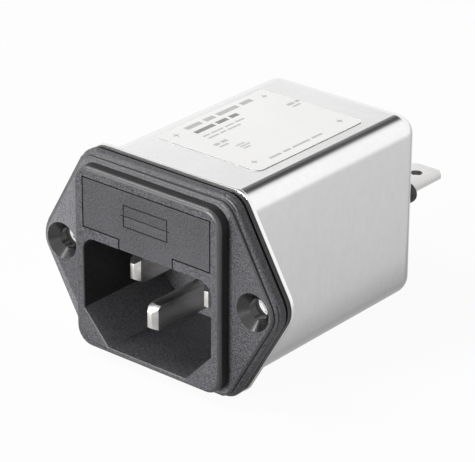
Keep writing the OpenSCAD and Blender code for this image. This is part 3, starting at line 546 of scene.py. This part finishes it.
def labelPaper(name, settings):
    mat, tree, shader, where = newMaterial(name)
    grain = placeGroup(tree, groups["grain"], where, Grain_Scale=2500.0, Patch_Scale=70.0)
    low, high = settings["paper"]
    tint = settings["paperTint"]
    paper = addMix(tree, grain.outputs["Patch"], grey(low, tint), grey(high, tint))
    marks = []
    for x, start, halfX, share, lengths in settings["rows"]:
        for index, length in enumerate(lengths):
            if index % 2 == 0:
                marks.append((x, start + length / 2, halfX, length / 2, share))
            start += length
    for x, y in settings["crosses"]:
        marks.append((x, y, settings["crossReach"], settings["crossLine"], 0.9))
        marks.append((x, y, settings["crossLine"], settings["crossReach"], 0.9))
    ink = None
    for x, y, halfX, halfY, share in marks:
        bar = placeGroup(tree, groups["bar"], where, Middle_X=x * mm, Middle_Y=y * mm, Half_X=halfX * mm, Half_Y=halfY * mm)
        one = addMath(tree, "MULTIPLY", bar.outputs["Ink"], share)
        ink = one if ink is None else addMath(tree, "MAXIMUM", ink, one)
    worn = addMath(tree, "MULTIPLY", ink, addRange(tree, grain.outputs["Speck"], 0.0, 1.0, settings["inkShare"], 1.0))
    printed = addMix(tree, worn, paper, grey(settings["ink"]))
    parts = tree.nodes.new("ShaderNodeSeparateXYZ")
    tree.links.new(where, parts.inputs[0])
    # painted shade: the label's sides, below its top face, are painted grey
    labelEdgeShade = addMath(tree, "LESS_THAN", parts.outputs["Z"], settings["topFace"] * mm - 0.00001)
    tree.links.new(addMix(tree, labelEdgeShade, printed, grey(settings["labelEdgeShade"])), shader.inputs["Base Color"])
    tree.links.new(addRange(tree, grain.outputs["Patch"], 0.0, 1.0, 0.42, 0.5), shader.inputs["Roughness"])
    addBump(tree, shader, grain.outputs["Height"], 0.004 * mm, 0.3)
    return mat


finishes = {name: mouldedPlastic(name, settings) for name, settings in plasticFinishes.items()}
finishes.update({name: platedMetal(name, settings) for name, settings in metalFinishes.items()})
finishes["fuseGlass"] = fuseGlass("fuseGlass")
finishes["labelPaper"] = labelPaper("labelPaper", labelSettings)
print("finishes ready:", len(finishes))

# the finish for each material slot of the part
slotFinishes = {
    "moulding": "mouldingBlack", "frame_plastic": "frameBlack", "can_metal": "canSteel", "pin_metal": "pinNickel",
    "contact_metal": "contactBrass", "fuse_glass": "fuseGlass", "cap_metal": "fuseCap", "tab_metal": "tabTin",
    "label_paper": "labelPaper", "bush_plastic": "bushBlack", "liner_card": "linerCard", "board_laminate": "boardGreen",
    "pale_plastic": "palePlastic", "core_ferrite": "coreFerrite", "copper_wire": "copperWire", "cap_plastic": "capYellow",
    "cap_lacquer": "capBlue", "resistor_lacquer": "resistorTan", "lead_metal": "leadTin",
}


def paint(piece, finish):
    piece.data.materials.clear()
    piece.data.materials.append(finishes[finish])


slotNames = {subpart["node"]: subpart["material_slot"] for subpart in frame["record"]["subparts"]}
for node, slotName in slotNames.items():
    paint(nodes[node], slotFinishes[slotName])
print("nodes painted:", len(nodes))

# rounding width in millimetres, steps, the angle from which an edge is rounded, and the finish of the rounded faces
edgeSettings = {
    "inlet_body": {"width": 0.22, "steps": 3, "angle": 28, "name": "frontMoulding", "worn": "mouldingEdge", "fine": 0.35,
                   "fineFrom": -4.3, "sharp": [((-12.1, -6.5, 2.6), (12.1, 40, 13.2))], "sharpSinks": 2.92},
    "fuse_drawer": {"width": 0.06, "steps": 2, "angle": 40, "name": "drawerMoulding",
                    "sharp": [((-5, -6.5, 5), (5, -5.7, 11))]},
    "rear_frame": {"width": 0.10, "steps": 2, "angle": 40, "name": "blackFrame", "worn": "mouldingEdge"},
    "filter_can": {"width": 0.12, "steps": 2, "angle": 30, "name": "steelCan"},
    "line_tab": {"width": 0.08, "steps": 2, "angle": 40, "name": "lineTab"},
    "neutral_tab": {"width": 0.08, "steps": 2, "angle": 40, "name": "neutralTab"},
    "earth_tab": {"width": 0.08, "steps": 2, "angle": 40, "name": "earthTab"},
    "line_bush": {"width": 0.25, "steps": 3, "angle": 40, "name": "lineBush"},
    "neutral_bush": {"width": 0.25, "steps": 3, "angle": 40, "name": "neutralBush"},
}


def pickOnly(piece):
    bpy.ops.object.select_all(action="DESELECT")
    piece.select_set(True)
    bpy.context.view_layer.objects.active = piece


def copyNode(node, name):
    # a CAD node's mesh as a piece of its own, its loose triangles joined to flat faces
    source = nodes[node]
    piece = source.copy()
    piece.data = source.data.copy()
    piece.name = name
    for key in list(piece.keys()):
        del piece[key]
    piece.parent = None
    bpy.context.scene.collection.objects.link(piece)
    pickOnly(piece)
    bpy.ops.object.mode_set(mode="EDIT")
    bpy.ops.mesh.select_all(action="SELECT")
    bpy.ops.mesh.remove_doubles(threshold=0.003 * mm)
    bpy.ops.mesh.dissolve_limited(angle_limit=math.radians(0.4))
    bpy.ops.object.mode_set(mode="OBJECT")
    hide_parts(node)
    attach(piece, body_of(source)[0])
    return piece


def selectWhere(piece, test):
    # picks the corner points that pass the test, in edit mode
    mesh = piece.data
    bpy.ops.object.mode_set(mode="EDIT")
    bpy.ops.mesh.select_mode(type="VERT")
    bpy.ops.mesh.select_all(action="DESELECT")
    bpy.ops.object.mode_set(mode="OBJECT")
    for point in mesh.vertices:
        point.select = test(point.co)
    bpy.ops.object.mode_set(mode="EDIT")


def inSink(point, radius):
    return math.hypot(abs(point.x) / mm - sinkSettings["pitch"] / 2, point.z / mm) < radius


def softEdges(piece, settings):
    mesh = piece.data
    faces = {}
    for face in mesh.polygons:
        for key in face.edge_keys:
            faces.setdefault(key, []).append(face.normal)
    weights = mesh.attributes.new("bevel_weight_edge", "FLOAT", "EDGE")
    for edge in mesh.edges:
        normals = faces.get(tuple(sorted(edge.vertices)), [])
        if len(normals) != 2 or normals[0].angle(normals[1]) < math.radians(settings["angle"]):
            continue
        middle = (mesh.vertices[edge.vertices[0]].co + mesh.vertices[edge.vertices[1]].co) / 2
        if "sharpSinks" in settings and inSink(middle, settings["sharpSinks"]):
            continue
        if "sharp" in settings and any(
                low[0] < middle.x / mm < high[0] and low[1] < middle.y / mm < high[1] and low[2] < middle.z / mm < high[2]
                for low, high in settings["sharp"]):
            continue
        fine = "fine" in settings and middle.y > settings["fineFrom"] * mm
        weights.data[edge.index].value = settings["fine"] if fine else 1.0
    if "worn" in settings:
        mesh.materials.append(finishes[settings["worn"]])
    pickOnly(piece)
    rounding = piece.modifiers.new("rounding", "BEVEL")
    rounding.width = settings["width"] * mm
    rounding.segments = settings["steps"]
    rounding.limit_method = "WEIGHT"
    rounding.use_clamp_overlap = False
    rounding.miter_outer = "MITER_ARC"
    rounding.material = 1 if "worn" in settings else -1
    bpy.ops.object.modifier_apply(modifier="rounding")
    bpy.ops.object.shade_smooth_by_angle(angle=math.radians(32))
    even = piece.modifiers.new("even shading", "WEIGHTED_NORMAL")
    even.keep_sharp = True
    even.weight = 100
    bpy.ops.object.modifier_apply(modifier="even shading")


def cutAcross(piece, depths, sink):
    # flat cuts square to the Y axis, through everything but the screw holes
    pickOnly(piece)
    for depth in depths:
        selectWhere(piece, lambda point: not inSink(point, sink))
        bpy.ops.mesh.bisect(plane_co=(0, depth * mm, 0), plane_no=(0, 1, 0))
        bpy.ops.object.mode_set(mode="OBJECT")


# the screw holes: lengths in millimetres, the cone from wide at the face to the bore
sinkSettings = {"pitch": 36, "wide": 2.87, "face": -4.0, "coneEnd": -2.75}


def roundSinks(piece, settings):
    # exact round shading for the cones and bores of the screw holes
    mesh = piece.data
    shades = [corner.vector.copy() for corner in mesh.corner_normals]
    for face in mesh.polygons:
        y = face.center.y / mm
        if not inSink(face.center, settings["wide"]) or y < settings["face"] + 0.01 or abs(face.normal.y) > 0.9:
            continue
        forward = 1.0 if y < settings["coneEnd"] else 0.0
        for corner in face.loop_indices:
            point = mesh.vertices[mesh.loops[corner].vertex_index].co
            hole = math.copysign(settings["pitch"] / 2 * mm, point.x)
            inward = Vector((hole - point.x, 0, -point.z)).normalized()
            shades[corner] = (inward + Vector((0, -forward, 0))).normalized()
    mesh.normals_split_custom_set(shades)
    print("screw holes rounded")


def isOutside(point, clearOf, sink):
    # true for what is on the outer edges, false in the socket, the drawer's shaft and the screw holes
    return (abs(point.x) / mm > clearOf[0] or abs(point.z) / mm > clearOf[1]) and not inSink(point, sink)


# the band behind the ears swells out in a quarter round
bandSettings = {"start": -3.5, "end": -2.6, "grow": 0.7, "cuts": (-3.47, -3.40, -3.28, -3.10, -2.86), "clearOf": (12.6, 13.6),
                "sink": 3.05, "seamCut": -1.88, "frameCut": -1.33}


def swellBand(piece, settings):
    cutAcross(piece, settings["cuts"], settings["sink"])
    mesh = piece.data
    length = settings["end"] - settings["start"]
    for point in mesh.vertices:
        y = point.co.y / mm
        if min(abs(y - cut) for cut in settings["cuts"]) > 0.002 or not isOutside(point.co, settings["clearOf"], settings["sink"]):
            continue
        straight = settings["grow"] * (y - settings["start"]) / length
        swollen = settings["grow"] * math.sqrt(1 - ((settings["end"] - y) / length) ** 2)
        outward = Vector((point.normal.x, 0, point.normal.z)).normalized()
        point.co += outward * (swollen - straight) * mm
    mesh.update()
    print("band swollen")


for node, settings in edgeSettings.items():
    piece = copyNode(node, settings["name"])
    if node == "inlet_body":
        swellBand(piece, bandSettings)
        cutAcross(piece, [bandSettings["seamCut"]], bandSettings["sink"])
    if node == "rear_frame":
        cutAcross(piece, [bandSettings["frameCut"]], bandSettings["sink"])
    softEdges(piece, settings)
    if node == "inlet_body":
        roundSinks(piece, sinkSettings)
    print(piece.name, "faces:", len(piece.data.polygons))

# the countersinks are smooth where a screw head seats and are painted near-black as shade in the holes, the sides of
# the steps are painted darker than the grained faces as shade, and the seam and the crease at the boss are painted
# darkest, as shadow
stepSettings = {"sink": 2.87, "earFace": -4.0, "sides": (-5.75, -3.49), "seam": (-1.885, -1.42),
                "frameSeam": (-1.46, -1.34),
                "crease": (-4.25, -4.01), "softCrease": (-3.66, -3.44), "socket": (12.3, -13.5, 3.4, -5.4)}
moulding = bpy.data.objects["frontMoulding"]
socketWide, socketLow, socketHigh, socketFront = stepSettings["socket"]
for finish in ("sinkGlossShade", "mouldingShadedSide", "seamShadow", "socketLitWall"):
    moulding.data.materials.append(finishes[finish])
for face in moulding.data.polygons:
    middle, y = face.center, face.center.y / mm
    # painted shade: the cones and bores of the screw holes get the near-black glossy finish
    if inSink(middle, stepSettings["sink"]):
        if y > stepSettings["earFace"] + 0.02:
            face.material_index = 2
    elif isOutside(middle, bandSettings["clearOf"], stepSettings["sink"]):
        # painted shadow: the crease at the boss and the faces round the seam get the near-black seam finish
        if any(stepSettings[key][0] < y < stepSettings[key][1] for key in ("crease", "seam")):
            face.material_index = 4
        # painted shade: the soft crease and the outward sides of the steps get the darker side finish
        elif stepSettings["softCrease"][0] < y < stepSettings["softCrease"][1]:
            face.material_index = 3
        elif stepSettings["sides"][0] < y < stepSettings["sides"][1] and abs(face.normal.y) < 0.3 and face.material_index == 0:
            face.material_index = 3
    elif abs(middle.x) / mm < socketWide and socketLow < middle.z / mm < socketHigh and y > socketFront:
        # inside the socket the rear wall and the slanted walls are painted paler as light, the upright ones painted
        # darker as shade
        if face.normal.y < -0.5 or (face.normal.z > 0.2 and abs(face.normal.x) > 0.3):
            face.material_index = 5
        elif abs(face.normal.x) > 0.9:
            face.material_index = 3
# painted shadow: the frame's outer faces just behind the seam get the near-black seam finish
backFrame = bpy.data.objects["blackFrame"]
backFrame.data.materials.append(finishes["seamShadow"])
for face in backFrame.data.polygons:
    if face.center.y / mm < stepSettings["frameSeam"][1] and isOutside(face.center, bandSettings["clearOf"], stepSettings["sink"]):
        face.material_index = 2

# the bores of the punched holes in the blades show sheared steel, rougher and painted dark as shade in the hole: place
# of each hole in millimetres
holeSettings = {"radius": 0.93, "places": {"lineTab": (7.85, 47.8), "neutralTab": (-7.85, 47.8), "earthTab": (0, 45.8)}}
for name, (holeX, holeY) in holeSettings["places"].items():
    blade = bpy.data.objects[name]
    blade.data.materials.append(finishes["shearedSteelShade"])
    for face in blade.data.polygons:
        away = math.hypot(face.center.x / mm - holeX, face.center.y / mm - holeY)
        if away < holeSettings["radius"] and abs(face.normal.z) < 0.95:
            face.material_index = 1

# the fuse mark's grooves are painted dark at the bottom, as shade
drawerSettings = {"grooves": (-5.87, -5.72)}
drawerFront = bpy.data.objects["drawerMoulding"]
drawerFront.data.materials[0] = finishes["drawerBlack"]
drawerFront.data.materials.append(finishes["mouldingShadedSide"])
for face in drawerFront.data.polygons:
    if drawerSettings["grooves"][0] < face.center.y / mm < drawerSettings["grooves"][1]:
        face.material_index = 1

# the nose is ground on all four sides; lengths in millimetres
pinSettings = {"noseSide": 0.62, "noseEnd": 0.78, "sideTaper": 0.85, "endTaper": 1.5, "rounding": 0.05,
               "names": {"line_pin": "linePin", "neutral_pin": "neutralPin", "earth_pin": "earthPin"}}


def makePin(settings):
    low, high = (Vector(corner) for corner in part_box("earth_pin"))
    middle, size = (low + high) / 2, high - low
    bpy.ops.object.select_all(action="DESELECT")
    bpy.ops.mesh.primitive_cube_add(size=1, location=middle)
    pin = bpy.context.object
    pin.scale = size
    bpy.ops.object.transform_apply(location=True, rotation=False, scale=True)
    bpy.ops.object.mode_set(mode="EDIT")
    for depth in (settings["sideTaper"], settings["endTaper"]):
        bpy.ops.mesh.select_all(action="SELECT")
        bpy.ops.mesh.bisect(plane_co=(middle.x, low.y + depth * mm, middle.z), plane_no=(0, 1, 0))
    noseHeight = 1 - 2 * settings["noseEnd"] * mm / size.z
    share = settings["sideTaper"] / settings["endTaper"]
    rings = ((0, 1 - 2 * settings["noseSide"] * mm / size.x, noseHeight),
             (settings["sideTaper"], 1, noseHeight + (1 - noseHeight) * share))
    for depth, wide, tall in rings:
        selectWhere(pin, lambda point, depth=depth: abs(point.y - low.y - depth * mm) < 0.00002)
        bpy.ops.transform.resize(value=(wide, 1, tall), center_override=middle)
    bpy.ops.object.mode_set(mode="OBJECT")
    pickOnly(pin)
    rounding = pin.modifiers.new("rounding", "BEVEL")
    rounding.width = settings["rounding"] * mm
    rounding.segments = 2
    rounding.limit_method = "ANGLE"
    rounding.angle_limit = math.radians(12)
    bpy.ops.object.modifier_apply(modifier="rounding")
    bpy.ops.object.shade_smooth_by_angle(angle=math.radians(25))
    return pin


firstPin = makePin(pinSettings)
for node, name in pinSettings["names"].items():
    pin = firstPin
    if node != "earth_pin":
        # the two outer pins are shorter: the same nose, with the tail drawn forward
        pin = firstPin.copy()
        pin.data = firstPin.data.copy()
        bpy.context.scene.collection.objects.link(pin)
        low, high = (Vector(corner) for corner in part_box(node))
        fromLow, fromHigh = (Vector(corner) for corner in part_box("earth_pin"))
        pickOnly(pin)
        bpy.ops.object.mode_set(mode="EDIT")
        bpy.ops.mesh.select_all(action="SELECT")
        bpy.ops.transform.translate(value=low - fromLow)
        selectWhere(pin, lambda point, tail=(low.y + fromHigh.y - fromLow.y): point.y > tail - 0.0002)
        bpy.ops.transform.translate(value=(0, high.y - low.y - fromHigh.y + fromLow.y, 0))
        bpy.ops.object.mode_set(mode="OBJECT")
    pin.name = name
    pin.data.materials.clear()
    pin.data.materials.append(finishes["pinNickel"])
    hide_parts(node)
    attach(pin, body_of(nodes[node])[0])
print("pins ready:", len(pinSettings["names"]))
